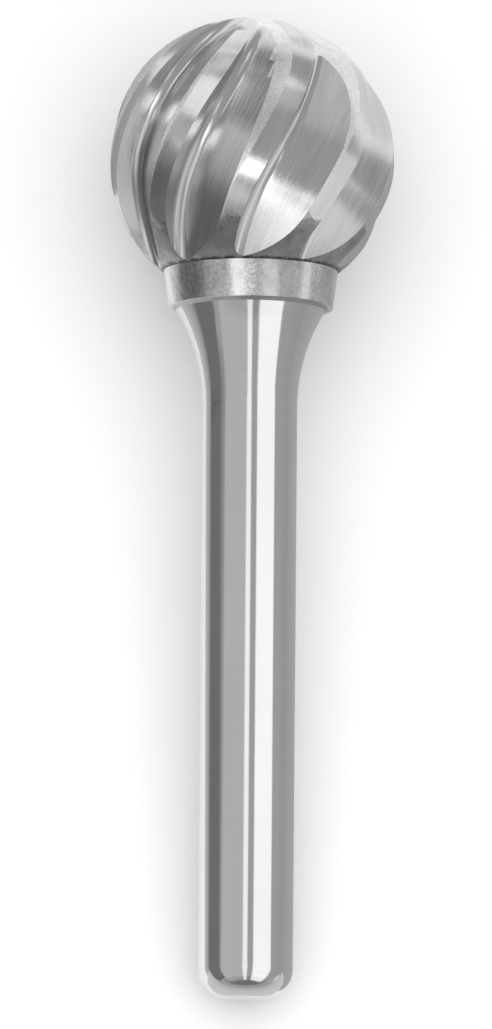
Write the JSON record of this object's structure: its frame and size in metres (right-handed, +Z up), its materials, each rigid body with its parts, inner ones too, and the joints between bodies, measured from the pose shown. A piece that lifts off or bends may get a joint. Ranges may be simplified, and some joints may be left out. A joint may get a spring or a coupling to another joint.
{
  "type": "carbide burr",
  "caption": "Ball-shaped rotary burr with spiral cutting flutes, a plain collar and a straight round shank.",
  "frame": {"origin": "on the surface it lies on, under the middle of the burr's length, straight below its axis", "axes": "+Y towards the ball head, +Z up, +X to the right seen from above with the head pointing away"},
  "size_m": [0.019, 0.0657, 0.0188],
  "materials": {
    "carbide": "ground tungsten carbide: fine grinding lines in the flutes, sparkling satin where unground",
    "braze": "pale silver solder, satin",
    "shank_steel": "bright ground and polished steel"
  },
  "bodies": {
    "root": {"carbide_head": "carbide", "braze_joint": "braze", "shank": "shank_steel"}
  },
  "joints": []
}
